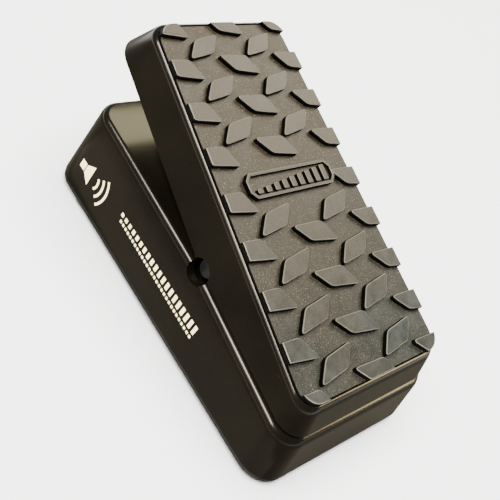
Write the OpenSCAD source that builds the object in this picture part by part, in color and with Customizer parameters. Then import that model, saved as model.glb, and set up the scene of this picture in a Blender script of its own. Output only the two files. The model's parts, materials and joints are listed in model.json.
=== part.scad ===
// Compact treadle volume pedal.
// X is the width, +Y points to the toe and +Z is up.
// The origin is on the ground, under the middle of the base.
// The treadle is drawn heel-down, its resting position.

/* [Base] */
// Length of the base from heel to toe
base_len = 130; // [129.5:0.1:130.5]
// Width of the base at half its length, measured at the bottom
base_w = 73.3; // [73:0.1:74]
// How much each side closes in per millimetre towards the toe
taper = 0.052; // [0.05:0.001:0.054]
// Height of the axle above the underside of the bottom plate
pivot_h = 27.7; // [27.5:0.1:28]
// Height of the deck's toe edge above the underside of the bottom plate
toe_h = 31.2; // [30.9:0.1:31.3]
// Height of the heel edge above the underside of the bottom plate
heel_h = 18.7; // [18.4:0.1:18.8]
// Wall thickness of the castings
wall = 2.5; // [2.3:0.1:2.6]
// Corner radius of the base in plan
base_r = 10; // [9.5:0.1:10.5]

/* [Treadle] */
// Toe-up tilt of the treadle when the heel is down
tilt = 16.56; // [16.5:0.02:16.6]
// Height of the rim above the axle, square to the rim
rim_h = 18.05; // [18:0.05:18.2]
// Half-width of the treadle across the axle, at the rim
treadle_hw = 34.35; // [34.1:0.05:34.4]
// Distance of the toe end from the axle, at the rim
treadle_toe = 74.2; // [74:0.1:74.4]
// Distance of the heel end from the axle, at the rim
treadle_heel = 51.5; // [51:0.1:51.6]
// Corner radius of the treadle in plan
treadle_r = 8; // [7.6:0.1:8.2]

/* [Tread] */
// Spacing of the tread rows along the pad, level with the axle
row_pitch = 15.32; // [15.25:0.01:15.4]
// Spacing of the tread columns across the pad, level with the axle
col_pitch = 30; // [29.9:0.05:30.1]
// Height of the tread blocks
block_h = 1.8; // [1.6:0.1:2]

/* [Drive] */
// Radius of the drive arm's rim about the axle
rim_r = 35.7; // [35.6:0.05:35.8]
// Radius of the drum on the potentiometer's shaft
drum_r = 4.2; // [4.1:0.05:4.3]
// Radius of the cross axle
axle_r = 3; // [2.95:0.05:3]

/* [Sockets] */
// Radius of the hole in each phone socket
socket_r = 3.2; // [3.18:0.01:3.25]
// Distance between the middles of neighbouring sockets
socket_gap = 19; // [18.5:0.1:19]

/* [Hidden] */

casting = [0.14, 0.13, 0.12];
rubber = [0.5, 0.48, 0.43];
black = [0.08, 0.08, 0.08];
steel = [0.72, 0.72, 0.73];
brass = [0.78, 0.65, 0.35];
nylon = [0.9, 0.9, 0.86];
board_green = [0.1, 0.35, 0.2];

round_fn = 64;
arc_steps = 8;
skin = 0.01;
foot_h = 1.6;
plate_t = 1.4;
plate_top = foot_h + plate_t;
overhang = 2.36;
y_toe = base_len / 2 - overhang;
y_heel = -base_len / 2 - overhang;
mid_hw = base_w / 2 - taper * overhang;

// axle and deck
pivot_y = -3.9 - overhang;
pivot_z = foot_h + pivot_h;
toe_z = foot_h + toe_h;
heel_z = foot_h + heel_h;
side_inset = 1.15;
toe_inset = 1.2;
heel_inset = 2.75;
shell_top = toe_z + 0.5;
heel_run = heel_inset * (shell_top - foot_h) / heel_h;
y_toe_top = y_toe - toe_inset;
y_heel_top = y_heel + heel_inset;
toe_slope = (toe_z - pivot_z) / (y_toe_top - pivot_y);
heel_slope = (pivot_z - heel_z) / (pivot_y - y_heel_top);
trough_r = 7;
notch_r = 4.3;
boss_x = 15;
boss_len = 6;
boss_r = 6;

// treadle, in its own frame: Y along the rim, Z square to it, axle at the origin
pad_t = 1.5;
top_t = 2.5;
under_z = rim_h - pad_t - top_t;
skirt = 2;
heel_rake = 0.61;
toe_rake = 0.23;
skirt_gap = 0.6;
toe_edge_y = 72.5;
toe_edge_z = 2.7;
heel_edge_y = 60;
heel_edge_z = skirt_gap + heel_edge_y * tan(tilt - atan(heel_slope));
pad_rim = 1.1;
lug_x = 24;
lug_len = 5;

// tread blocks, as corner points around the lattice's own origin
slant_block = [[-9.5, 2], [-8.9, 1.5], [-3.5, -4.1], [9, -6], [4.5, 1.5]];
leaning_block = [[-24.5, 1], [-18.75, 8], [-6, 9.8], [-11.5, 2.8]];
column_shrink = 0.0022;
row_ease = 0.117;
edge_drop = 0.6;
badge_v = 16.9;
badge_w = 42;
badge_d = 8.4;
badge_bars = 7;

// band drive
sector_t = 3;
band_t = 0.3;
mesh_gap = 0.12;
drum_angle = 20;
drum_far = rim_r + band_t + mesh_gap + band_t + drum_r;
drum_y = pivot_y + drum_far * cos(drum_angle);
drum_z = pivot_z - drum_far * sin(drum_angle);
shaft_r = 3;
bracket_x = 6.2;
bracket_t = 1.2;
pot_x = bracket_x + bracket_t;
pot_len = 9;
pot_r = 8;
bracket_top = 27;
bracket_ys = [drum_y - 12, drum_y + 12];

// sockets
socket_z = 16;
socket_face = y_toe - 3;
socket_wall = socket_face - wall;
jack_gap = 0.8;
jack_w = 14;
jack_len = 16;
jack_h = 13;
bushing_r = 4.5;
bushing_end = y_toe - 0.2;

// circuit board
board_lo = [-29, 6, 19];
board_size = [20, 32, 1.6];
board_under = board_lo[2];
board_top = board_lo[2] + board_size[2];
board_posts = [[-26, 9], [-12, 9], [-26, 35], [-12, 35]];
post_bore_r = 1.3;
slider_travel = 2;
switch_at = [-24, 20];

plate_posts = [[-33.5, -58.4], [33.5, -58.4], [-30.2, 46], [30.2, 46]];
foot_spots = [[-29, -48], [29, -48], [-20, 52], [20, 52]];

function arc(cx, cy, r, a0) =
    [for (i = [0:arc_steps]) [cx + r * cos(a0 + 90 * i / arc_steps), cy + r * sin(a0 + 90 * i / arc_steps)]];

// rounded plan outline that narrows to the toe; hw is the half-width level with y = 0
function plan(hw, y0, y1, r) = concat(
    arc(hw - taper * y1 - r, y1 - r, r, 0),
    arc(taper * y1 - hw + r, y1 - r, r, 90),
    arc(taper * y0 - hw + r, y0 + r, r, 180),
    arc(hw - taper * y0 - r, y0 + r, r, 270));

function deck_z(y) = y > pivot_y ? pivot_z + (y - pivot_y) * toe_slope : pivot_z + (y - pivot_y) * heel_slope;

function rim_arc(r, a0, a1) = [for (a = [a0:2:a1]) [r * cos(a), r * sin(a)]];

// solid between two plan outlines, each given as [half-width, heel y, toe y, corner radius, z]
module drafted(low, high) {
    hull() {
        translate([0, 0, low[4]]) linear_extrude(skin) polygon(plan(low[0], low[1], low[2], low[3]));
        translate([0, 0, high[4] - skin]) linear_extrude(skin) polygon(plan(high[0], high[1], high[2], high[3]));
    }
}

// prism along X with its outline given as [y, z] points
module side_prism(x0, x1, points) {
    translate([x0, 0, 0]) rotate([90, 0, 90]) linear_extrude(x1 - x0) polygon(points);
}

module rod_x(x0, x1, r, y = 0, z = 0) {
    translate([x0, y, z]) rotate([0, 90, 0]) cylinder(h = x1 - x0, r = r, $fn = round_fn);
}

module rod_y(y0, y1, r, x = 0, z = 0) {
    translate([x, y0, z]) rotate([-90, 0, 0]) cylinder(h = y1 - y0, r = r, $fn = round_fn);
}

module rod_z(z0, z1, r, x = 0, y = 0) {
    translate([x, y, z0]) cylinder(h = z1 - z0, r = r, $fn = round_fn);
}

module at_pivot() {
    translate([0, pivot_y, pivot_z]) children();
}

module on_treadle() {
    at_pivot() rotate([tilt, 0, 0]) children();
}

module both_sides() {
    children();
    mirror([1, 0, 0]) children();
}

// ---- base ----

module base_outside() {
    intersection() {
        drafted([mid_hw, y_heel, y_toe, base_r, plate_top],
                [mid_hw - side_inset, y_heel + heel_run, y_toe - toe_inset, base_r - 1, shell_top]);
        side_prism(-base_w, base_w, [
            [y_heel - 1, 0], [y_toe + 1, 0], [y_toe + 1, deck_z(y_toe + 1)],
            [pivot_y, pivot_z], [y_heel - 1, deck_z(y_heel - 1)]]);
    }
}

module base_inside() {
    intersection() {
        drafted([mid_hw - wall, y_heel + wall, socket_wall, base_r - wall, plate_top - 1],
                [mid_hw - side_inset - wall, y_heel + heel_run + wall, socket_wall, base_r - 1 - wall, shell_top]);
        side_prism(-base_w, base_w, [
            [y_heel, 0], [y_toe, 0], [y_toe, deck_z(y_toe) - wall],
            [pivot_y, pivot_z - wall], [y_heel, deck_z(y_heel) - wall]]);
    }
}

module base_shell() {
    inner_hw = mid_hw - wall;
    color(casting) difference() {
        union() {
            difference() {
                base_outside();
                base_inside();
            }
            intersection() {
                base_outside();
                union() {
                    difference() {
                        rod_x(-inner_hw, inner_hw, trough_r + wall, pivot_y, pivot_z);
                        rod_x(-inner_hw + 1.5, inner_hw - 1.5, trough_r, pivot_y, pivot_z);
                    }
                    for (p = plate_posts) rod_z(plate_top, deck_z(p[1]) - 1, 3.5, p[0], p[1]);
                    rod_z(13, pivot_z - trough_r - 1, 4.5, 0, pivot_y);
                    for (y = bracket_ys) rod_z(bracket_top, deck_z(y) - 1, 3, 13, y);
                }
            }
        }
        // trough for the axle, open to a small round notch in each side
        rod_x(-inner_hw + 1.5, inner_hw - 1.5, trough_r, pivot_y, pivot_z);
        rod_x(-base_w, base_w, notch_r, pivot_y, pivot_z);
        // slot for the drive arm
        translate([-3.2, pivot_y + 17.9, pivot_z - 5]) cube([6.4, 21, 12]);
        // sockets, each in a shallow flat-bottomed recess
        for (i = [-1:1]) {
            rod_y(socket_face, y_toe + 1, 8, i * socket_gap, socket_z);
            rod_y(socket_wall - 1, y_toe + 1, bushing_r + 0.1, i * socket_gap, socket_z);
        }
        for (p = plate_posts) rod_z(0, 12, 1.5, p[0], p[1]);
        for (y = bracket_ys) rod_z(0, bracket_top + 2, 1.25, 13, y);
        rod_z(0, pivot_z, 2.05, 0, pivot_y);
    }
    color(casting) difference() {
        both_sides() bearing_post();
        rod_x(-base_w, base_w, 4.05, pivot_y, pivot_z);
    }
}

module bearing_post() {
    intersection() {
        at_pivot() {
            rod_x(boss_x, boss_x + boss_len, boss_r);
            translate([boss_x, -boss_r, -trough_r - 1]) cube([boss_len, 2 * boss_r, trough_r + 1]);
        }
        at_pivot() union() {
            rod_x(boss_x, boss_x + boss_len, trough_r + 1);
            translate([0, -boss_r, 0]) cube([base_w, 2 * boss_r, 2 * boss_r]);
        }
    }
}

module bottom_plate() {
    color(black) difference() {
        translate([0, 0, foot_h]) linear_extrude(plate_t)
            polygon(plan(mid_hw - 0.3, y_heel + 0.3, y_toe - 0.3, base_r - 0.3));
        for (p = plate_posts) rod_z(0, plate_top + 1, 1.65, p[0], p[1]);
        rod_z(0, plate_top + 1, 4.2, 0, pivot_y);
    }
}

module bottom_plate_screws() {
    color(steel) for (p = plate_posts) difference() {
        union() {
            rod_z(foot_h - 1.2, foot_h, 2.8, p[0], p[1]);
            rod_z(foot_h - 0.1, 11.5, 1.45, p[0], p[1]);
        }
        for (a = [0, 90]) translate([p[0], p[1], 0]) rotate([0, 0, a])
            translate([-1.5, -0.3, 0]) cube([3, 0.6, foot_h - 0.5]);
    }
}

module rubber_feet() {
    color(black) for (p = foot_spots) rod_z(0, foot_h, 5.5, p[0], p[1]);
}

module pivot_bushes() {
    color(brass) at_pivot() both_sides() difference() {
        union() {
            rod_x(boss_x - 0.2, boss_x + boss_len, 4);
            rod_x(boss_x + boss_len, boss_x + boss_len + 1, 5.2);
        }
        rod_x(0, base_w, axle_r + 0.05);
    }
}

module friction_block() {
    color(nylon) at_pivot() difference() {
        intersection() {
            translate([-6, -4.5, -trough_r]) cube([12, 9, trough_r - 0.3]);
            rod_x(-6, 6, trough_r - 0.02);
        }
        rod_x(-7, 7, axle_r + 0.04);
    }
}

module friction_screw() {
    color(steel) difference() {
        union() {
            rod_z(9, pivot_z - trough_r, 2, 0, pivot_y);
            rod_z(6.5, 9, 3.5, 0, pivot_y);
        }
        translate([-4, pivot_y - 0.5, 6]) cube([8, 1, 1.6]);
    }
}

// ---- sockets ----

module jack_at(x) {
    color(black) difference() {
        union() {
            translate([x - jack_w / 2, socket_wall - jack_gap - jack_len, socket_z - jack_h / 2])
                cube([jack_w, jack_len, jack_h]);
            rod_y(socket_wall - 1, bushing_end, bushing_r, x, socket_z);
        }
        rod_y(socket_wall - jack_len + 1.5, y_toe + 1, socket_r, x, socket_z);
    }
}

module input_jack() { jack_at(socket_gap); }
module output_jack() { jack_at(-socket_gap); }
module tuner_jack() { jack_at(0); }

module jack_washers() {
    color(steel) for (i = [-1:1]) difference() {
        rod_y(socket_face, socket_face + 0.5, 6.6, i * socket_gap, socket_z);
        rod_y(socket_face - 1, y_toe, bushing_r + 0.1, i * socket_gap, socket_z);
    }
}

module jack_nuts() {
    color(steel) for (i = [-1:1]) difference() {
        translate([i * socket_gap, socket_face + 0.5, socket_z]) rotate([-90, 0, 0]) cylinder(h = 2, r = 6.4, $fn = 6);
        rod_y(socket_face, y_toe, bushing_r + 0.05, i * socket_gap, socket_z);
    }
}

// ---- potentiometer and its bracket ----

module pot_body() {
    color(steel) difference() {
        union() {
            rod_x(pot_x, pot_x + pot_len, pot_r, drum_y, drum_z);
            rod_x(pot_x - 3.8, pot_x + 1, 3.5, drum_y, drum_z);
        }
        rod_x(0, pot_x + pot_len - 2, shaft_r + 0.05, drum_y, drum_z);
    }
}

module pot_terminals() {
    color(brass) for (i = [-1:1])
        translate([pot_x + 2.5, drum_y + 4 * i - 0.9, drum_z - pot_r - 2.6]) cube([0.6, 1.8, 4]);
}

module pot_nut() {
    color(steel) difference() {
        translate([bracket_x - 2, drum_y, drum_z]) rotate([0, 90, 0]) cylinder(h = 2, r = 6, $fn = 6);
        rod_x(0, 9, 3.55, drum_y, drum_z);
    }
}

module pot_bracket() {
    color(steel) difference() {
        union() {
            translate([bracket_x, drum_y - 14, drum_z - 6]) cube([bracket_t, 28, bracket_top - drum_z + 6]);
            translate([bracket_x, drum_y - 16, bracket_top - bracket_t]) cube([11, 32, bracket_t]);
        }
        rod_x(0, 9, 3.6, drum_y, drum_z);
        for (y = bracket_ys) rod_z(0, bracket_top + 1, 1.6, 13, y);
        translate([0, drum_y + 5.5, 0]) cube([base_w, 12, bracket_top - 2.8]);
    }
}

module bracket_screws() {
    color(steel) for (y = bracket_ys) {
        rod_z(bracket_top - bracket_t - 1.6, bracket_top - bracket_t, 2.4, 13, y);
        rod_z(bracket_top - bracket_t, bracket_top + 1.8, 1.2, 13, y);
    }
}

// ---- circuit board ----

module circuit_board() {
    color(board_green) difference() {
        translate(board_lo) cube(board_size);
        for (p = board_posts) rod_z(0, pivot_z, 1.4, p[0], p[1]);
    }
}

module board_standoffs() {
    color(brass) for (p = board_posts) difference() {
        rod_z(board_top, deck_z(p[1]) - wall + 0.6, 2.4, p[0], p[1]);
        rod_z(0, board_top + 4.5, post_bore_r, p[0], p[1]);
    }
}

module board_screws() {
    color(steel) for (p = board_posts) {
        rod_z(board_under - 1.5, board_under, 2.2, p[0], p[1]);
        rod_z(board_under, board_top + 4, post_bore_r - 0.05, p[0], p[1]);
    }
}

module board_parts() {
    color(black) {
        translate([-23, 12, board_under - 3]) cube([9, 5, 3]);
        for (y = [27, 33]) rod_z(board_under - 6, board_under, 2.4, -19, y);
        translate([-14.5, 18.5, board_under - 5]) cube([4, 9, 5]);
    }
}

module mode_switch() {
    color(steel) difference() {
        translate([switch_at[0] - 4.5, switch_at[1] - 2, board_under - 4]) cube([9, 4, 4]);
        translate([switch_at[0] - 1.4, switch_at[1] - 1.1, board_under - 5]) cube([slider_travel + 2.8, 2.2, 3]);
    }
}

module mode_slider() {
    color(nylon) translate([switch_at[0] - 1, switch_at[1] - 0.8, board_under - 6]) cube([2, 1.6, 3.6]);
}

// ---- treadle ----

// the lower edge of the skirt leaves the base's top edge a narrow gap
module skirt_profile(drop) {
    side_prism(-base_w, base_w, [
        [0, skirt_gap - drop], [toe_edge_y + 10, toe_edge_z * (toe_edge_y + 10) / toe_edge_y - drop],
        [toe_edge_y + 10, rim_h + 5], [-90, rim_h + 5], [-90, heel_edge_z * 90 / heel_edge_y - drop]]);
}

module treadle_shell() {
    color(casting) on_treadle() {
        difference() {
            intersection() {
                drafted([treadle_hw + 0.3, -treadle_heel - heel_rake * rim_h, treadle_toe + toe_rake * rim_h,
                         treadle_r + 1, 0],
                        [treadle_hw, -treadle_heel, treadle_toe, treadle_r, rim_h]);
                skirt_profile(0);
            }
            drafted([treadle_hw + 0.3 - skirt, -treadle_heel - heel_rake * (rim_h + 1) + skirt + 0.4,
                     treadle_toe + toe_rake * (rim_h + 1) - skirt, treadle_r + 1 - skirt, -1],
                    [treadle_hw - skirt, -treadle_heel - heel_rake * (rim_h - under_z) + skirt + 0.4,
                     treadle_toe + toe_rake * (rim_h - under_z) - skirt, treadle_r - skirt + 0.5, under_z]);
            translate([0, 0, rim_h - pad_t]) linear_extrude(pad_t + 1)
                polygon(plan(treadle_hw - pad_rim, pad_rim - treadle_heel, treadle_toe - pad_rim, treadle_r - pad_rim));
            rod_x(-base_w, base_w, notch_r);
        }
        both_sides() difference() {
            union() {
                rod_x(lug_x, lug_x + lug_len, 5.2);
                translate([lug_x, -5, 0]) cube([lug_len, 10, under_z + 1]);
            }
            rod_x(0, base_w, axle_r + 0.02);
            translate([lug_x + lug_len / 2, 0, 0]) rotate([90, 0, 0]) cylinder(h = 12, r = 1.25, $fn = round_fn);
        }
    }
}

module pad_plan(shrink) {
    polygon(plan(treadle_hw - pad_rim - shrink, pad_rim + shrink - treadle_heel,
                 treadle_toe - pad_rim - shrink, treadle_r - pad_rim - shrink));
}

// rows and columns both open out a little towards the heel
function on_lattice(p, col, row) =
    let (n = p[1] / row_pitch + row, v = row_pitch * n - row_ease * n * n)
        [(p[0] + col * col_pitch) * (1 - column_shrink * v), v];

module block(points, col, row) {
    polygon([for (p = points) on_lattice(p, col, row)]);
}

module tread_pad() {
    color(rubber) on_treadle() {
        translate([0, 0, rim_h - pad_t]) linear_extrude(pad_t) pad_plan(0.25);
        translate([0, 0, rim_h - skin]) linear_extrude(block_h + skin) intersection() {
            pad_plan(0.25);
            union() {
                for (row = [-4:5]) {
                    block(slant_block, 1, row);
                    if (row > -4) block([for (p = slant_block) [p[0], p[1] - edge_drop]], -1, row);
                    if (row != 1) {
                        block(slant_block, 0, row);
                        block(leaning_block, 0, row);
                        block(leaning_block, 1, row);
                    }
                }
            }
        }
        translate([0, badge_v, rim_h - skin]) badge();
    }
}

// plain raised badge with a row of bars that grow in height
module badge() {
    difference() {
        translate([-badge_w / 2, -badge_d / 2, 0]) cube([badge_w, badge_d, block_h]);
        translate([1 - badge_w / 2, 1 - badge_d / 2, block_h - 0.7]) cube([badge_w - 2, badge_d - 2, 1]);
    }
    for (i = [0:badge_bars - 1])
        translate([5.2 * i - 17, -2.6, 0.5]) cube([2.6, 1.4 + 0.6 * i, block_h - 0.5]);
}

module pivot_axle() {
    color(steel) at_pivot() rod_x(-31.4, 31.4, axle_r);
}

module axle_collars() {
    color(steel) at_pivot() both_sides() difference() {
        rod_x(boss_x + boss_len + 1.3, lug_x - 0.05, 5);
        rod_x(0, base_w, axle_r + 0.03);
    }
}

module lug_screws() {
    color(steel) on_treadle() both_sides() translate([lug_x + lug_len / 2, -axle_r - 0.05, 0])
        rotate([90, 0, 0]) cylinder(h = 2.6, r = 1.2, $fn = round_fn);
}

module drive_sector() {
    color(steel) on_treadle() difference() {
        union() {
            side_prism(-sector_t / 2, sector_t / 2, concat(
                rim_arc(rim_r, -40, 22), [[rim_r * cos(22), under_z], [15, under_z]],
                [for (p = [24:-2:-40]) if (p <= -4) [26 * cos(p), 26 * sin(p)]]));
            translate([-7, 15, under_z - 2]) cube([14, 18, 2]);
        }
        for (x = [-4.4, 4.4]) for (y = [18.5, 29.5]) rod_z(under_z - 3, under_z + 1, 1.6, x, y);
    }
}

module sector_screws() {
    color(steel) on_treadle() for (x = [-4.4, 4.4]) for (y = [18.5, 29.5]) {
        rod_z(under_z - 3.6, under_z - 2, 2.4, x, y);
        rod_z(under_z - 2, under_z, 1.5, x, y);
    }
}

module drive_band() {
    color(steel) on_treadle() side_prism(-1.2, 1.2, concat(
        rim_arc(rim_r + band_t, -38, 20), [for (a = [20:-2:-38]) [rim_r * cos(a), rim_r * sin(a)]]));
}

module band_screws() {
    color(steel) on_treadle() for (a = [-35, 8])
        rotate([a, 0, 0]) rod_x(sector_t / 2, sector_t / 2 + 1.2, 1.6, 31.5, 0);
}

module toe_bumpers() {
    color(black) on_treadle() both_sides() rod_z(1.9, under_z, 4, 19, 50);
}

module heel_bumpers() {
    color(black) on_treadle() both_sides() rod_z(7.1, under_z, 4, 19, -42);
}

// ---- turning parts of the potentiometer ----

module pot_shaft() {
    color(steel) rod_x(-7, pot_x + pot_len - 2.3, shaft_r, drum_y, drum_z);
}

module band_drum() {
    color(brass) difference() {
        union() {
            rod_x(-3, 2.6, drum_r, drum_y, drum_z);
            rod_x(-7, -3, 5.5, drum_y, drum_z);
        }
        rod_x(-8, 4, shaft_r + 0.01, drum_y, drum_z);
        translate([-5, drum_y, drum_z]) cylinder(h = 9, r = 1, $fn = round_fn);
    }
}

module band_loop() {
    color(steel) difference() {
        rod_x(-1.2, 1.2, drum_r + band_t, drum_y, drum_z);
        rod_x(-2, 2, drum_r, drum_y, drum_z);
    }
}

module drum_screw() {
    color(steel) translate([-5, drum_y, drum_z + shaft_r + 0.05]) cylinder(h = 2.2, r = 0.95, $fn = round_fn);
}

base_shell();
bottom_plate();
bottom_plate_screws();
rubber_feet();
pivot_bushes();
friction_block();
friction_screw();
input_jack();
output_jack();
tuner_jack();
jack_washers();
jack_nuts();
pot_body();
pot_terminals();
pot_nut();
pot_bracket();
bracket_screws();
circuit_board();
board_standoffs();
board_screws();
board_parts();
mode_switch();
mode_slider();
treadle_shell();
tread_pad();
pivot_axle();
axle_collars();
lug_screws();
drive_sector();
sector_screws();
drive_band();
band_screws();
toe_bumpers();
heel_bumpers();
pot_shaft();
band_drum();
band_loop();
drum_screw();
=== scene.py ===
import json
import math

import bmesh
import bpy
from mathutils import Matrix, Vector


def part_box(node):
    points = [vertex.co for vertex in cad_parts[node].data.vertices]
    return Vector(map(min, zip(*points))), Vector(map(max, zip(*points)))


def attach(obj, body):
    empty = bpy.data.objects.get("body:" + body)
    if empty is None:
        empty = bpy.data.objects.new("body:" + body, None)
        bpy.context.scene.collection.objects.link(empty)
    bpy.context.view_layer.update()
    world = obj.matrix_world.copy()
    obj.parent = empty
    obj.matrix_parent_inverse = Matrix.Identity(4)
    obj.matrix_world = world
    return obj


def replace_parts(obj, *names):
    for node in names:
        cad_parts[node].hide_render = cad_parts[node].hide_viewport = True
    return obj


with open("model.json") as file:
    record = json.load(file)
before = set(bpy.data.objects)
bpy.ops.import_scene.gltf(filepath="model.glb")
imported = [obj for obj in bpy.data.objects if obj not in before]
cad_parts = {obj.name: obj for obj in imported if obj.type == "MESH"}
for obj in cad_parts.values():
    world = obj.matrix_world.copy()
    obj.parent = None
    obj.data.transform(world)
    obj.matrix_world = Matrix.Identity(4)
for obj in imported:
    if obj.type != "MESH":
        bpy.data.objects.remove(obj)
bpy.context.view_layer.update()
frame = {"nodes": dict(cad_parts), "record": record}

MM = 0.001

# ---- sizes in millimetres, as the CAD design has them ----

TILT = math.radians(16.56)
TAPER = 0.052
BASE_LOW, BASE_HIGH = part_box("base_shell")
BASE_Z = BASE_LOW.z / MM
HEEL_Y, TOE_Y = BASE_LOW.y / MM, BASE_HIGH.y / MM
BASE_HW = BASE_HIGH.x / MM + TAPER * HEEL_Y
JOINTS = {j["name"]: j for j in frame["record"]["behaviour"]["joints"]}
PIVOT = Vector(JOINTS["treadle_rock"]["pos_m"]) / MM
DECK_TOE_RISE = 3.5
DECK_HEEL_DROP = 9.0
TOE_INSET = 1.2
HEEL_INSET = 2.75
SIDE_INSET = 1.15
SHELL_TOP = PIVOT.z + DECK_TOE_RISE + 0.5
WALL_FOOT = 1.6
HEEL_WALL = 18.7
HEEL_RUN = HEEL_INSET * (SHELL_TOP - WALL_FOOT) / HEEL_WALL
TOE_SLOPE = DECK_TOE_RISE / (TOE_Y - TOE_INSET - PIVOT.y)
HEEL_SLOPE = DECK_HEEL_DROP / (PIVOT.y - HEEL_Y - HEEL_INSET)
BASE_R = 10.0
BASE_FILLET = (2.1, 3.0)
NOTCH_R = 4.3
NOTCH_CHAMFER = 0.9
# half width at y = 0, heel, toe and corner radius of the base's outline, at its bottom and at its top
BASE_OUTLINES = ((BASE_HW, HEEL_Y, TOE_Y, BASE_R),
                 (BASE_HW - SIDE_INSET, HEEL_Y + HEEL_RUN, TOE_Y - TOE_INSET, BASE_R - 1))

RIM_H = 18.05
TREADLE_HW = 34.35
TREADLE_TOE = 74.2
TREADLE_HEEL = -51.5
TREADLE_R = 8.0
TREADLE_FLARE = 0.3
TREADLE_FILLET = (2.0, 2.4)
HEEL_RAKE = 0.61
TOE_RAKE = 0.23
PAD_RIM = 1.1
PAD_GAP = 0.25
PAD_T = 1.5
BLOCK_H = 1.8
ROW_PITCH = 15.32
ROW_EASE = 0.117
EDGE_DROP = 0.6
COL_PITCH = 30.0
COLUMN_SHRINK = 0.0022
CORNER_R = 1.5
TIGHTEST_CURVE = 0.32
SLANT_BLOCK = [(-9.5, 2.0), (-3.5, -4.1), (9.0, -6.0), (4.5, 1.5)]
LEANING_BLOCK = [(-24.5, 1.0), (-18.75, 8.0), (-6.0, 9.8), (-11.5, 2.8)]
BADGE_V = 16.9
BADGE_W = 42.0
BADGE_D = 8.4
BADGE_CORNER = 2.2
BADGE_BARS = 9

# the print on the left side: the middle of the mark, and where its two rows start and how they slope
MARK = (PIVOT.y + 59.4, 13.2)
BAR_ROW = (PIVOT.y + 34.4, 15.4, -0.03)
DASH_ROW = (PIVOT.y + 33.4, 13.4, -0.03)

# how far the visual's walls stay inside the CAD's
SKIN = 0.08
SOFT_EDGE = 0.25
SMALL_SOFT_EDGE = 0.15
REMADE = ("base_shell", "treadle_shell", "tread_pad")

TREADLE_FRAME = Matrix.Translation(PIVOT) @ Matrix.Rotation(TILT, 4, "X")


# ---- camera ----

CAMERA_AT = Vector((-237.607, -101.377, 218.525))
CAMERA_RIGHT = Vector((0.65618, -0.56494, 0.50027))
CAMERA_UP = Vector((0.18632, 0.76372, 0.61807))
CAMERA_BACK = Vector((-0.73124, -0.31236, 0.6064))
SENSOR_WIDTH = 36
LENS = 70.16


def make_camera():
    turn = Matrix((CAMERA_RIGHT, CAMERA_UP, CAMERA_BACK)).transposed().to_4x4()
    data = bpy.data.cameras.new("camera")
    data.sensor_width = SENSOR_WIDTH
    data.lens = LENS
    data.clip_start = 0.01
    cam = bpy.data.objects.new("camera", data)
    cam.matrix_world = Matrix.Translation(CAMERA_AT * MM) @ turn
    bpy.context.scene.collection.objects.link(cam)
    bpy.context.scene.camera = cam


# ---- mesh helpers ----

def link_mesh(name, bm, place=None, smooth=35):
    """Makes an object from a bmesh drawn in millimetres; place is a matrix in millimetres too."""
    if place is not None:
        bm.transform(place)
    bm.transform(Matrix.Scale(MM, 4))
    bmesh.ops.recalc_face_normals(bm, faces=bm.faces)
    mesh = bpy.data.meshes.new(name)
    bm.to_mesh(mesh)
    bm.free()
    mesh.shade_smooth()
    mesh.set_sharp_from_angle(angle=math.radians(smooth))
    obj = bpy.data.objects.new(name, mesh)
    bpy.context.scene.collection.objects.link(obj)
    return obj


def add_loft(bm, rings):
    """Skins closed rings that have the same number of points, and caps both ends with strips of quads."""
    made = [[bm.verts.new(p) for p in ring] for ring in rings]
    n = len(made[0])
    for a, b in zip(made, made[1:]):
        for i in range(n):
            j = (i + 1) % n
            bm.faces.new((a[i], a[j], b[j], b[i]))
    for ring in (made[0], made[-1]):
        for i in range(n // 2 - 1):
            bm.faces.new((ring[i], ring[i + 1], ring[n - 2 - i], ring[n - 1 - i]))


def plan(hw, y0, y1, r, mid, steps=14, side=12):
    """Closed outline of a rounded, tapered plan, down the right side from toe to heel and back up the left.

    y0 is the heel, y1 the toe, and mid a y that gets a point of its own on each side.
    """
    right = []
    for i in range(steps + 1):
        a = math.pi / 2 * (1 - i / steps)
        right.append((hw - TAPER * y1 - r + r * math.cos(a), y1 - r + r * math.sin(a)))
    start, end = (hw - TAPER * y1, y1 - r), (hw - TAPER * y0, y0 + r)
    share = (mid - start[1]) / (end[1] - start[1])
    stops = [share * i / side for i in range(1, side + 1)]
    stops += [share + (1 - share) * i / side for i in range(1, side)]
    right += [(start[0] + (end[0] - start[0]) * t, start[1] + (end[1] - start[1]) * t) for t in stops]
    for i in range(steps + 1):
        a = -math.pi / 2 * i / steps
        right.append((hw - TAPER * y0 - r + r * math.cos(a), y0 + r + r * math.sin(a)))
    return right + [(-x, y) for x, y in reversed(right)]


def ruled_ring(low, high, inset, height):
    """Ring on the drafted wall between two plans, moved in by inset; height(y) gives each point's z."""
    a = plan(low[0] - inset, low[1] + inset, low[2] - inset, low[3] - inset, low[5])
    b = plan(high[0] - inset, high[1] + inset, high[2] - inset, high[3] - inset, high[5])
    ring = []
    for (ax, ay), (bx, by) in zip(a, b):
        y = by
        for _ in range(3):
            k = (height(y) - low[4]) / (high[4] - low[4])
            y = ay + (by - ay) * k
        ring.append(Vector((ax + (bx - ax) * k, y, height(y))))
    return ring


def envelope(low, high, bottom, top, across, down, steps=8):
    """Solid with drafted walls and a rounded top edge that is `across` wide and `down` deep.

    low and high are two plans: half width, heel, toe, corner radius, z and the y of the middle points.
    """
    rings = [ruled_ring(low, high, SKIN, bottom)]
    for i in range(steps + 1):
        a = math.pi / 2 * i / steps
        inset = SKIN + across * (1 - math.cos(a))
        rings.append(ruled_ring(low, high, inset, lambda y: top(y) - down * (1 - math.sin(a))))
    bm = bmesh.new()
    add_loft(bm, rings)
    return bm


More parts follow.
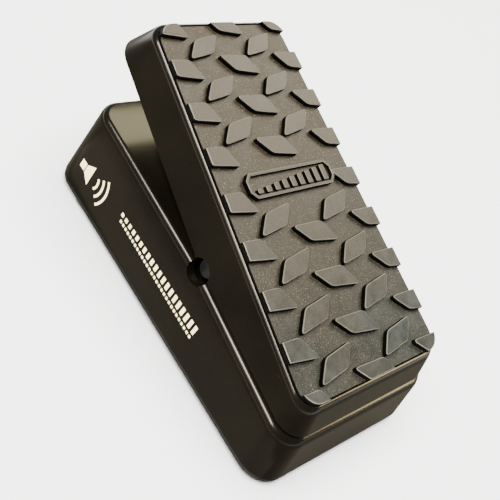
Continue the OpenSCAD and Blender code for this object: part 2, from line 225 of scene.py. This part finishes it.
def combine(target, other, operation):
    """Applies a boolean to target and removes the other object."""
    mod = target.modifiers.new("cut", "BOOLEAN")
    mod.operation = operation
    mod.solver = "EXACT"
    mod.object = other
    bpy.context.view_layer.update()
    dg = bpy.context.evaluated_depsgraph_get()
    mesh = bpy.data.meshes.new_from_object(target.evaluated_get(dg))
    target.modifiers.clear()
    target.data = mesh
    bpy.data.objects.remove(other)


def copy_node(node, name):
    obj = bpy.data.objects.new(name, frame["nodes"][node].data.copy())
    obj.data.materials.clear()
    bpy.context.scene.collection.objects.link(obj)
    bm = bmesh.new()
    bm.from_mesh(obj.data)
    bmesh.ops.remove_doubles(bm, verts=bm.verts, dist=1e-6)
    bmesh.ops.dissolve_limit(bm, angle_limit=math.radians(0.3), verts=bm.verts, edges=bm.edges)
    bm.to_mesh(obj.data)
    bm.free()
    return obj


def soften(obj, width, angle):
    """Bevels the edges that are sharper than angle."""
    mod = obj.modifiers.new("soft_edges", "BEVEL")
    mod.width = width * MM
    mod.segments = 2
    mod.limit_method = "ANGLE"
    mod.angle_limit = math.radians(angle)


def tidy_mesh(obj):
    """Merges slivers, softens the sharp edges and smooths the rest."""
    bm = bmesh.new()
    bm.from_mesh(obj.data)
    bmesh.ops.remove_doubles(bm, verts=bm.verts, dist=2e-6)
    bmesh.ops.dissolve_degenerate(bm, edges=bm.edges, dist=2e-6)
    bm.to_mesh(obj.data)
    bm.free()
    soften(obj, SOFT_EDGE, 40)
    obj.data.shade_smooth()
    obj.data.set_sharp_from_angle(angle=math.radians(30))
    normals = obj.modifiers.new("normals", "WEIGHTED_NORMAL")
    normals.keep_sharp = True


# ---- castings ----

def deck_z(y):
    slope = TOE_SLOPE if y > PIVOT.y else HEEL_SLOPE
    return PIVOT.z + (y - PIVOT.y) * slope


def countersink(obj, radius, width, x):
    """Opens the edge of the axle's notch into a chamfer on both sides; x is where the wall's face is."""
    for side in (-1, 1):
        bm = bmesh.new()
        bmesh.ops.create_cone(bm, cap_ends=True, segments=64, radius1=radius + 2 * width,
                              radius2=radius - width, depth=3 * width)
        turn = Matrix.Translation((PIVOT.x + side * (x - width * 0.5 + width), PIVOT.y, PIVOT.z))
        bm.transform(turn @ Matrix.Rotation(-side * math.pi / 2, 4, "Y"))
        combine(obj, link_mesh("cone", bm), "DIFFERENCE")


def make_base():
    obj = copy_node("base_shell", "base_casting")
    low = (*BASE_OUTLINES[0], BASE_Z, PIVOT.y)
    high = (*BASE_OUTLINES[1], SHELL_TOP, PIVOT.y)
    outside = link_mesh("outside", envelope(low, high, lambda y: BASE_Z - 1, deck_z, *BASE_FILLET))
    # the axle's posts stand above the deck, so a block keeps them out of the cut
    posts = bmesh.new()
    bmesh.ops.create_cube(posts, size=1, matrix=Matrix.Translation(PIVOT) @ Matrix.Diagonal((48, 15, 14, 1)))
    combine(outside, link_mesh("posts", posts), "UNION")
    combine(obj, outside, "INTERSECT")
    draft = SIDE_INSET * (PIVOT.z - BASE_Z) / (SHELL_TOP - BASE_Z)
    countersink(obj, NOTCH_R, NOTCH_CHAMFER, BASE_HW - TAPER * PIVOT.y - draft)
    tidy_mesh(obj)
    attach(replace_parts(obj, "base_shell"), "chassis")
    return obj


def make_treadle():
    obj = copy_node("treadle_shell", "treadle_casting")
    low = (TREADLE_HW + TREADLE_FLARE, TREADLE_HEEL - HEEL_RAKE * RIM_H,
           TREADLE_TOE + TOE_RAKE * RIM_H, TREADLE_R + 1, 0.0, 0.0)
    high = (TREADLE_HW, TREADLE_HEEL, TREADLE_TOE, TREADLE_R, RIM_H, 0.0)
    bm = envelope(low, high, lambda y: -8.0, lambda y: RIM_H, *TREADLE_FILLET)
    combine(obj, link_mesh("outside", bm, TREADLE_FRAME), "INTERSECT")
    countersink(obj, NOTCH_R, NOTCH_CHAMFER, TREADLE_HW + TREADLE_FLARE)
    tidy_mesh(obj)
    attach(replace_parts(obj, "treadle_shell"), "treadle")
    return obj


# ---- tread pad ----

def clip_convex(points, outline):
    """Part of a polygon inside a convex outline; both run anticlockwise."""
    for (ax, ay), (bx, by) in zip(outline, outline[1:] + outline[:1]):
        def side(p):
            return (bx - ax) * (p[1] - ay) - (by - ay) * (p[0] - ax)
        kept = []
        for p, q in zip(points, points[1:] + points[:1]):
            sp, sq = side(p), side(q)
            if sp >= 0:
                kept.append(p)
            if (sp > 0 > sq) or (sp < 0 < sq):
                t = sp / (sp - sq)
                kept.append((p[0] + (q[0] - p[0]) * t, p[1] + (q[1] - p[1]) * t))
        points = kept
        if len(points) < 3:
            return []
    return points


def area(points):
    return sum(p[0] * q[1] - q[0] * p[1] for p, q in zip(points, points[1:] + points[:1])) / 2


def rounded(points, r, steps=4, tightest=0.0):
    """Rounds each corner of a polygon with a curve.

    The curve starts r from the corner, or further where its radius would drop below `tightest`.
    """
    made = []
    n = len(points)
    for i, p in enumerate(points):
        p = Vector(p)
        before, after = Vector(points[i - 1]) - p, Vector(points[(i + 1) % n]) - p
        half = before.angle(after) / 2
        cut = max(r, tightest * math.cos(half) / math.sin(half) ** 2)
        cut = min(cut, before.length * 0.45, after.length * 0.45)
        if cut < 0.05:
            made.append(tuple(p))
            continue
        a, b = p + before.normalized() * cut, p + after.normalized() * cut
        for k in range(steps + 1):
            t = k / steps
            made.append(tuple(a * (1 - t) ** 2 + p * 2 * t * (1 - t) + b * t ** 2))
    return made


def shrunk(points, d):
    """Polygon moved in by d along its own corner directions."""
    made = []
    n = len(points)
    for i, p in enumerate(points):
        a, b = Vector(points[i - 1]), Vector(points[(i + 1) % n])
        along = (Vector(p) - a).normalized() + (b - Vector(p)).normalized()
        along.normalize()
        made.append((p[0] - along.y * d, p[1] + along.x * d))
    return made


# the pad's material numbers: WALL faces get painted shade, EDGE faces a painted highlight, and SHEET is
# painted darker than TOP as shade between the blocks
TOP, WALL, EDGE, SHEET = 0, 1, 2, 3


def add_block(bm, points, z0, z1, bevel=0.26, draft=0.15):
    """Raised block with a softened top edge; its faces carry the pad's material numbers, with painted shade
    on the walls and a painted highlight on the softened edge.
    """
    levels = [(z0, -draft, WALL), (z1 - bevel, 0.0, EDGE),
              (z1 - bevel * 0.3, bevel * 0.35, EDGE), (z1, bevel, None)]
    rings = [[bm.verts.new((x, y, z)) for x, y in shrunk(points, d)] for z, d, _ in levels]
    n = len(points)
    for (a, b), (_, _, look) in zip(zip(rings, rings[1:]), levels):
        for i in range(n):
            j = (i + 1) % n
            bm.faces.new((a[i], a[j], b[j], b[i])).material_index = look
    bm.faces.new(rings[-1]).material_index = TOP
    bm.faces.new(list(reversed(rings[0]))).material_index = WALL


def anticlockwise(points):
    return points if area(points) > 0 else list(reversed(points))


def pad_outline(inset=0.0):
    edge = PAD_RIM + PAD_GAP + inset
    return anticlockwise(plan(TREADLE_HW - edge, TREADLE_HEEL + edge, TREADLE_TOE - edge,
                              TREADLE_R - edge, 0.0, steps=8, side=1))


def on_lattice(points, col, row):
    made = []
    for u, v in points:
        n = v / ROW_PITCH + row
        v = ROW_PITCH * n - ROW_EASE * n * n
        made.append(((u + col * COL_PITCH) * (1 - COLUMN_SHRINK * v), v))
    return made


def tread_blocks():
    """Outlines of the blocks; the row at the badge has only the ones at the sides."""
    for row in range(-4, 6):
        columns = [(SLANT_BLOCK, 1)]
        if row > -4:
            columns.append(([(u, v - EDGE_DROP) for u, v in SLANT_BLOCK], -1))
        if row != 1:
            columns += [(SLANT_BLOCK, 0), (LEANING_BLOCK, 0), (LEANING_BLOCK, 1)]
        for shape, col in columns:
            yield anticlockwise(on_lattice(shape, col, row))


def add_sheet(bm):
    outline = pad_outline()
    levels = [(RIM_H - PAD_T, 0.0), (RIM_H - 0.35, 0.0), (RIM_H - 0.1, 0.12), (RIM_H, 0.4)]
    rings = [[bm.verts.new((x, y, z)) for x, y in shrunk(outline, d)] for z, d in levels]
    n = len(outline)
    for a, b in zip(rings, rings[1:]):
        for i in range(n):
            j = (i + 1) % n
            bm.faces.new((a[i], a[j], b[j], b[i])).material_index = WALL
    bm.faces.new(rings[-1]).material_index = SHEET
    bm.faces.new(list(reversed(rings[0]))).material_index = WALL


def add_badge(bm):
    """Plain badge: a chamfered frame round a row of bars that grow."""
    z0 = RIM_H - 0.1
    w, d, c = BADGE_W / 2, BADGE_D / 2, BADGE_CORNER

    def frame_line(inset):
        a, b, k = w - inset, d - inset, c - inset * 0.45
        corners = [(-a + k, -b), (a - k, -b), (a, -b + k), (a, b - k),
                   (a - k, b), (-a + k, b), (-a, b - k), (-a, -b + k)]
        return [(x, y + BADGE_V) for x, y in corners]

    # the frame's chamfers carry the painted highlight, its walls the painted shade, and its recess the
    # sheet's painted shade
    levels = [(-0.1, 0.0, WALL), (0.0, BLOCK_H - 0.1, EDGE), (0.2, BLOCK_H + 0.1, TOP),
              (0.8, BLOCK_H + 0.1, EDGE), (0.95, BLOCK_H - 0.1, WALL), (1.05, 0.5, None)]
    rings = [[bm.verts.new((x, y, z0 + z)) for x, y in frame_line(inset)] for inset, z, _ in levels]
    for (a, b), (_, _, look) in zip(zip(rings, rings[1:]), levels):
        for i in range(8):
            j = (i + 1) % 8
            bm.faces.new((a[i], a[j], b[j], b[i])).material_index = look
    bm.faces.new(rings[-1]).material_index = SHEET
    bm.faces.new(list(reversed(rings[0]))).material_index = WALL
    foot, half = -2.7, 1.15
    for i in range(BADGE_BARS):
        x = -16.4 + 4.1 * i
        head = foot + (1.5 + 0.48 * i)
        corners = [(x - half, foot), (x + half, foot), (x + half, head), (x - half, head)]
        outline = rounded([(u, v + BADGE_V) for u, v in corners], 0.4)
        add_block(bm, outline, z0 + 0.4, z0 + BLOCK_H, 0.18, 0.05)


def make_pad():
    bm = bmesh.new()
    add_sheet(bm)
    outline = pad_outline()
    for shape in tread_blocks():
        points = clip_convex(rounded(shape, CORNER_R, 8, TIGHTEST_CURVE), outline)
        if len(points) < 3 or area(points) < 2.0:
            continue
        add_block(bm, points, RIM_H - 0.1, RIM_H + BLOCK_H)
    add_badge(bm)
    obj = link_mesh("tread_rubber_pad", bm, TREADLE_FRAME, smooth=40)
    for mat in (rubber_top(), painted_shade_rubber_wall(), painted_highlight_rubber_edge(), painted_shade_rubber_sheet()):
        obj.data.materials.append(mat)
    for face in obj.data.polygons:
        face.use_smooth = face.material_index not in (TOP, SHEET)
    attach(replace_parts(obj, "tread_pad"), "treadle")
    return obj


# ---- printed marks on the side ----

def wall_x(y, z):
    """Where the left wall's straight part is, between its outlines at the bottom and the top."""
    reach = []
    for hw, y0, y1, r in BASE_OUTLINES:
        share = (y - y0 - r) / (y1 - y0 - 2 * r)
        reach.append(hw - TAPER * (y0 + (y1 - y0) * share))
    return SKIN - reach[0] - (reach[1] - reach[0]) * (z - BASE_Z) / (SHELL_TOP - BASE_Z)


def add_print(bm, points, start, rise=0.0):
    """Thin ink shape on the left wall; points are (distance towards the heel, height) from a start (y, z)."""
    rings = []
    for lift in (-0.05, 0.045):
        ring = []
        for s, h in points:
            y, z = start[0] - s, start[1] + h + s * rise
            ring.append(bm.verts.new((wall_x(y, z) - lift, y, z)))
        rings.append(ring)
    n = len(points)
    for i in range(n):
        j = (i + 1) % n
        bm.faces.new((rings[0][i], rings[0][j], rings[1][j], rings[1][i]))
    bm.faces.new(rings[1])
    bm.faces.new(list(reversed(rings[0])))


def add_row(bm, row, count, pitch, width, first, last):
    """Row of upright bars whose height goes from first to last."""
    for i in range(count):
        s = pitch * i
        tall = first + (last - first) * i / (count - 1)
        add_print(bm, [(s, 0), (s + width, 0), (s + width, tall), (s, tall)], row[:2], row[2])


def arc_band(cx, cy, r, width, a0, a1, steps=10):
    outer = [math.radians(a0 + (a1 - a0) * i / steps) for i in range(steps + 1)]
    points = [(cx + (r + width) * math.cos(a), cy + (r + width) * math.sin(a)) for a in outer]
    return points + [(cx + r * math.cos(a), cy + r * math.sin(a)) for a in reversed(outer)]


def make_print():
    bm = bmesh.new()
    # loudspeaker and sound waves
    add_print(bm, [(0, -1.5), (2.6, -1.5), (2.6, 1.5), (0, 1.5)], MARK)
    add_print(bm, [(3.1, -1.6), (6.6, -4), (6.6, 4), (3.1, 1.6)], MARK)
    for r in (3.2, 5.8, 8.4):
        add_print(bm, arc_band(7.0, 0, r, 0.9, -38, 38), MARK)
    # a long row of bars that grow towards the heel, over a broken line
    add_row(bm, BAR_ROW, 20, 2.4, 1.3, 1.3, 3.4)
    add_row(bm, DASH_ROW, 29, 1.6, 0.95, 0.9, 0.9)
    obj = link_mesh("side_print", bm)
    obj.data.materials.append(ink())
    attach(obj, "chassis")
    return obj


# ---- materials ----

def new_material(name):
    mat = bpy.data.materials.new(name)
    mat.use_nodes = True
    nodes, links = mat.node_tree.nodes, mat.node_tree.links
    shader = nodes["Principled BSDF"]
    where = nodes.new("ShaderNodeTexCoord")
    return mat, nodes, links, shader, where


def noise(nodes, links, where, scale, detail=4.0, rough=0.55):
    tex = nodes.new("ShaderNodeTexNoise")
    tex.inputs["Scale"].default_value = scale
    tex.inputs["Detail"].default_value = detail
    tex.inputs["Roughness"].default_value = rough
    links.new(where.outputs["Object"], tex.inputs["Vector"])
    return tex.outputs["Fac"]


def ramp(nodes, links, value, stops):
    node = nodes.new("ShaderNodeValToRGB")
    while len(node.color_ramp.elements) < len(stops):
        node.color_ramp.elements.new(0.5)
    for element, (at, colour) in zip(node.color_ramp.elements, stops):
        element.position = at
        element.color = (*colour, 1)
    links.new(value, node.inputs["Fac"])
    return node.outputs["Color"]


def spread(nodes, links, value, low, high, out_low, out_high):
    node = nodes.new("ShaderNodeMapRange")
    for key, number in zip(("From Min", "From Max", "To Min", "To Max"), (low, high, out_low, out_high)):
        node.inputs[key].default_value = number
    links.new(value, node.inputs["Value"])
    return node.outputs["Result"]


def mixed(nodes, links, share, a, b):
    node = nodes.new("ShaderNodeMix")
    node.data_type = "RGBA"
    links.new(share, node.inputs["Factor"])
    links.new(a, node.inputs[6])
    links.new(b, node.inputs[7])
    return node.outputs[2]


def bump(nodes, links, shader, value, strength, distance):
    node = nodes.new("ShaderNodeBump")
    node.inputs["Strength"].default_value = strength
    node.inputs["Distance"].default_value = distance
    links.new(value, node.inputs["Height"])
    links.new(node.outputs["Normal"], shader.inputs["Normal"])


def simple(name, dark, light, rough, metallic=0.0, scale=900, grain=0.3, specular=0.5):
    """A finish with slow colour drift, uneven gloss and a fine grain."""
    mat, nodes, links, shader, where = new_material(name)
    drift = noise(nodes, links, where, scale * 0.12)
    links.new(ramp(nodes, links, drift, [(0.3, dark), (0.7, light)]), shader.inputs["Base Color"])
    fine = noise(nodes, links, where, scale, 6)
    links.new(spread(nodes, links, fine, 0.3, 0.7, rough[0], rough[1]), shader.inputs["Roughness"])
    bump(nodes, links, shader, fine, grain, 0.00006)
    shader.inputs["Metallic"].default_value = metallic
    shader.inputs["Specular IOR Level"].default_value = specular
    return mat


def dusty_rubber_and_painted_sheen(name, shade, specks, rough, grain):
    """Dusty moulded rubber: warm taupe with cloudy patches and pale specks, turning towards the heel into a
    cool greenish tint that is a painted sheen.
    """
    mat, nodes, links, shader, where = new_material(name)
    broad = noise(nodes, links, where, 26, 3)
    split = nodes.new("ShaderNodeSeparateXYZ")
    links.new(where.outputs["Object"], split.inputs["Vector"])
    along = spread(nodes, links, split.outputs["Y"], 0.015, -0.045, 0.0, 1.0)
    # share of the painted sheen: grows towards the heel, in broad patches
    painted_sheen_share = nodes.new("ShaderNodeMath")
    painted_sheen_share.operation = "MULTIPLY"
    links.new(along, painted_sheen_share.inputs[0])
    links.new(spread(nodes, links, broad, 0.4, 0.6, 0.4, 1.0), painted_sheen_share.inputs[1])
    cloud = noise(nodes, links, where, 150, 6, 0.65)
    warm = [(0.32, (0.030, 0.023, 0.013)), (0.64, (0.090, 0.072, 0.044))]
    # painted sheen: this cool greenish colour stands in for the teal sheen the rubber shows towards the heel
    painted_teal_sheen = [(0.32, (0.026, 0.034, 0.028)), (0.64, (0.080, 0.092, 0.077))]
    bodies = []
    for stops in (warm, painted_teal_sheen):
        shaded = [(at, tuple(c * s for c, s in zip(colour, shade))) for at, colour in stops]
        bodies.append(ramp(nodes, links, cloud, shaded))
    body = mixed(nodes, links, painted_sheen_share.outputs[0], *bodies)
    speck = noise(nodes, links, where, 2800, 2, 0.7)
    share = spread(nodes, links, speck, 0.60, 0.68, 0.0, specks)
    pale = ramp(nodes, links, cloud, [(0.4, (0.30, 0.27, 0.20)), (0.6, (0.42, 0.39, 0.31))])
    links.new(mixed(nodes, links, share, body, pale), shader.inputs["Base Color"])
    fine = noise(nodes, links, where, 1500, 5)
    links.new(spread(nodes, links, cloud, 0.3, 0.7, rough[0], rough[1]), shader.inputs["Roughness"])
    bump(nodes, links, shader, fine, grain, 0.00009)
    shader.inputs["Specular IOR Level"].default_value = 0.5
    return mat


def rubber_top():
    return dusty_rubber_and_painted_sheen("tread_rubber_top", (1.10, 1.08, 1.12), 0.35, (0.38, 0.5), 0.25)


# painted shade: the sheet between the blocks is the tops' rubber made darker and browner; its extra pale
# specks are dust
def painted_shade_rubber_sheet():
    return dusty_rubber_and_painted_sheen("tread_rubber_sheet_painted_shade", (0.84, 0.80, 0.76), 1.0, (0.42, 0.6), 0.7)


# painted shade: the walls of the blocks and the sheet are the tops' rubber painted near-black, with little
# gloss, as the shade on their sides
def painted_shade_rubber_wall():
    return simple("tread_rubber_wall_painted_shade", (0.002, 0.002, 0.0015), (0.005, 0.0045, 0.0035), (0.5, 0.65),
                  scale=1500, specular=0.05)


# painted highlight: the softened top edges of the blocks and the badge's chamfers are the tops' rubber
# painted much lighter, as the bright line along them
def painted_highlight_rubber_edge():
    return simple("tread_rubber_edge_painted_highlight", (0.22, 0.20, 0.155), (0.36, 0.33, 0.26), (0.3, 0.42), scale=1500)


def ink():
    return simple("cream_ink", (0.58, 0.50, 0.27), (0.68, 0.60, 0.34), (0.45, 0.6), scale=2500)


def casting_paint():
    """Satin powder coat: near-black, slightly warm, with fine orange peel."""
    mat, nodes, links, shader, where = new_material("satin_powder_coat")
    drift = noise(nodes, links, where, 30, 3)
    links.new(ramp(nodes, links, drift, [(0.3, (0.0012, 0.0010, 0.0006)), (0.7, (0.0022, 0.0018, 0.0011))]),
              shader.inputs["Base Color"])
    peel = noise(nodes, links, where, 700, 3)
    smudge = noise(nodes, links, where, 60, 4)
    links.new(spread(nodes, links, smudge, 0.3, 0.7, 0.17, 0.24), shader.inputs["Roughness"])
    bump(nodes, links, shader, peel, 0.12, 0.00006)
    shader.inputs["Specular IOR Level"].default_value = 0.2
    shader.inputs["Specular Tint"].default_value = (1.0, 0.92, 0.78, 1)
    return mat


def slot_materials():
    return {
        "painted_casting": casting_paint(),
        "plate_steel": simple("flat_black_plate", (0.008, 0.008, 0.008), (0.016, 0.015, 0.014), (0.45, 0.6)),
        # the CAD tread rubber takes the wall rubber with its painted shade
        "tread_rubber": painted_shade_rubber_wall(),
        "foot_rubber": simple("foot_rubber", (0.012, 0.012, 0.012), (0.022, 0.022, 0.021), (0.6, 0.8)),
        "bright_steel": simple("plated_steel", (0.5, 0.5, 0.5), (0.66, 0.66, 0.67), (0.22, 0.36), 1.0),
        "zinc_screw": simple("zinc_screw", (0.42, 0.43, 0.46), (0.6, 0.61, 0.63), (0.25, 0.4), 1.0),
        "dark_screw": simple("black_oxide", (0.03, 0.03, 0.032), (0.06, 0.06, 0.06), (0.3, 0.45), 0.8),
        "bronze": simple("bronze", (0.5, 0.33, 0.14), (0.68, 0.48, 0.23), (0.25, 0.4), 1.0),
        "nylon": simple("nylon", (0.66, 0.64, 0.58), (0.78, 0.77, 0.72), (0.4, 0.55)),
        "black_plastic": simple("black_plastic", (0.01, 0.01, 0.01), (0.02, 0.02, 0.02), (0.35, 0.5)),
        "board_laminate": simple("board_laminate", (0.01, 0.07, 0.03), (0.02, 0.12, 0.05), (0.3, 0.45)),
    }


def dress_nodes(mats):
    """Gives every CAD node its slot's finish, and softens the edges of those that show."""
    slots = {row["node"]: row["material_slot"] for row in frame["record"]["subparts"]}
    for name, obj in frame["nodes"].items():
        obj.data.materials.clear()
        obj.data.materials.append(mats[slots[name]])
        if name not in REMADE:
            soften(obj, SMALL_SOFT_EDGE, 45)


# ---- stage ----

def area_light(name, toward, distance, size, power, colour):
    """Lamp that faces the middle of the pedal; size is its width and its extent along the pedal."""
    data = bpy.data.lights.new(name, "AREA")
    data.shape = "RECTANGLE"
    data.size, data.size_y = size
    data.energy = power
    data.color = colour
    lamp = bpy.data.objects.new(name, data)
    z_axis = Vector(toward).normalized()
    x_axis = Vector((0, 1, 0)).cross(z_axis).normalized()
    turn = Matrix((x_axis, z_axis.cross(x_axis), z_axis)).transposed().to_4x4()
    lamp.matrix_world = Matrix.Translation(Vector((0, 0, 0.03)) + z_axis * distance) @ turn
    bpy.context.scene.collection.objects.link(lamp)
    return lamp


def flat_sheet(name, size, at, shade):
    """Level card; size is half its width and half its length."""
    bm = bmesh.new()
    bmesh.ops.create_grid(bm, x_segments=1, y_segments=1, size=1)
    sheet = link_mesh(name, bm, Matrix.Translation(at) @ Matrix.Diagonal((*size, 1, 1)))
    darker = tuple(c * 0.97 for c in shade)
    sheet.data.materials.append(simple(name, darker, shade, (0.7, 0.8), scale=20, grain=0.0))
    return sheet


def make_stage(shells):
    """Floor, cards, sky and lamps; shells are the castings and the print on them."""
    floor = flat_sheet("pale_floor", (4000, 4000), (0, 0, 0), (0.95, 0.95, 0.95))
    # a dark flag with a lighter strip beside the base, seen only in the gloss of the pedal's sides
    cards = (("flag", (260, 260), (0, 0, 0.3), (0.27, 0.25, 0.20)),
             ("flag_strip", (12, 80), (-50, 0, 0.4), (0.70, 0.66, 0.58)))
    for row in cards:
        card = flat_sheet(*row)
        card.visible_camera = card.visible_diffuse = card.visible_shadow = card.visible_transmission = False
    world = bpy.data.worlds.new("studio")
    world.use_nodes = True
    world.node_tree.nodes["Background"].inputs["Color"].default_value = (1.0, 1.0, 1.0, 1)
    world.node_tree.nodes["Background"].inputs["Strength"].default_value = 0.4
    bpy.context.scene.world = world
    # each lamp, and the objects that it lights if it doesn't light them all
    lamps = (
        ("overhead", (0, 0.1, 1), 1.6, (1.6, 1.6), 130.0, (1, 1, 1), [floor]),
        ("sheen", (0.70, 0.13, 0.70), 0.9, (0.45, 0.4), 5.5, (1.0, 0.90, 0.71), None),
        ("side", (-0.62, 0.14, 0.74), 0.9, (0.12, 0.62), 10.0, (1.0, 0.98, 0.94), None),
        ("edge", (-0.62, 0.14, 0.74), 0.9, (0.12, 0.62), 60.0, (1.0, 0.98, 0.94), shells),
        ("heel_glow", (0.778, -0.594, 0.204), 1.24, (0.3, 0.25), 5.0, (1.0, 0.80, 0.40), shells),
        ("deck_glow", (0, 0, 1), 0.0, (0.036, 0.015), 0.018, (1.0, 0.93, 0.60), shells),
    )
    for *settings, lit in lamps:
        lamp = area_light(*settings)
        if lit:
            group = bpy.data.collections.new(lamp.name + "_lights")
            for obj in lit:
                group.objects.link(obj)
            lamp.light_linking.receiver_collection = group
    # the last lamp hangs just over the deck
    lamp.location = (-0.006, 0.0595, 0.046)
    lamp.visible_camera = False


make_camera()
materials = slot_materials()
dress_nodes(materials)
castings = [make_base(), make_treadle()]
for casting in castings:
    casting.data.materials.clear()
    casting.data.materials.append(materials["painted_casting"])
make_pad()
make_stage(castings + [make_print()])
